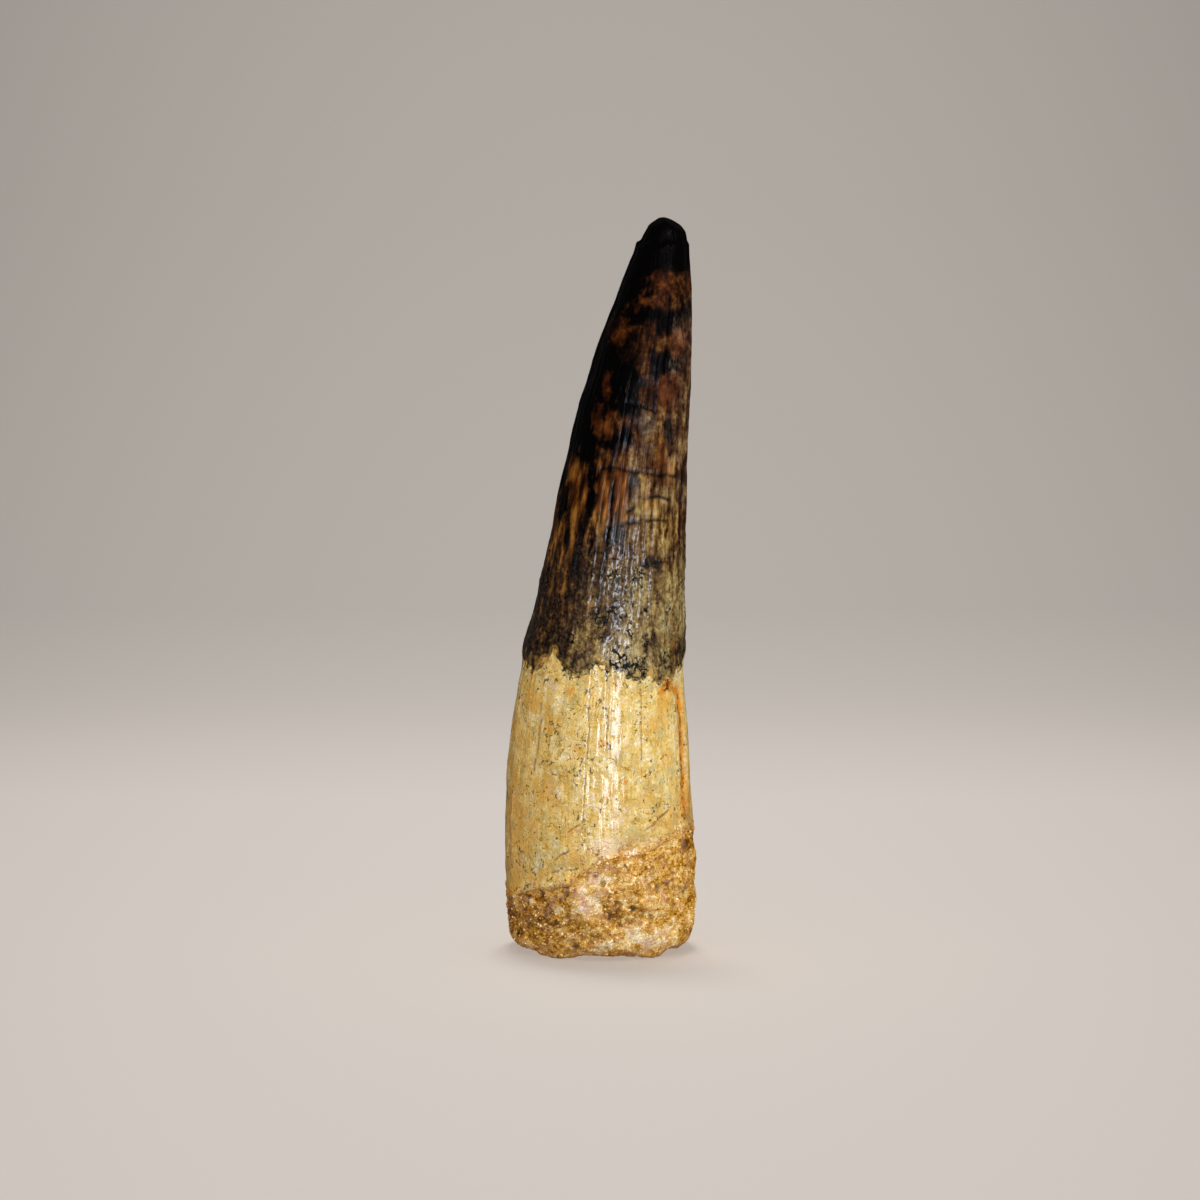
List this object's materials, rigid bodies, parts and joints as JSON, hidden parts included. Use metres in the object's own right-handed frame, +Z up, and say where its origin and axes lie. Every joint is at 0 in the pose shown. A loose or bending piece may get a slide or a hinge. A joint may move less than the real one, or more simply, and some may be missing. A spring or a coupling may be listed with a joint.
{
  "type": "spinosaurus tooth",
  "caption": "Fossil tooth: dark fluted conical crown with a worn tip on a pale smooth root, standing on sandstone matrix cemented to the root's broken end.",
  "frame": {"origin": "on the surface that it stands on, under the middle of its outline seen from above", "axes": "+Z up along the tooth to the tip, +X towards the straight rear edge, +Y towards the inner side, so the outer side faces -Y"},
  "size_m": [0.0262, 0.0212, 0.1],
  "materials": {
    "fossil_tooth": "glossy brown-black fluted enamel above, satin cream and ochre root below",
    "sandstone": "rough golden brown sand grains"
  },
  "bodies": {
    "root": {"tooth": "fossil_tooth", "sandstone": "sandstone"}
  },
  "joints": []
}
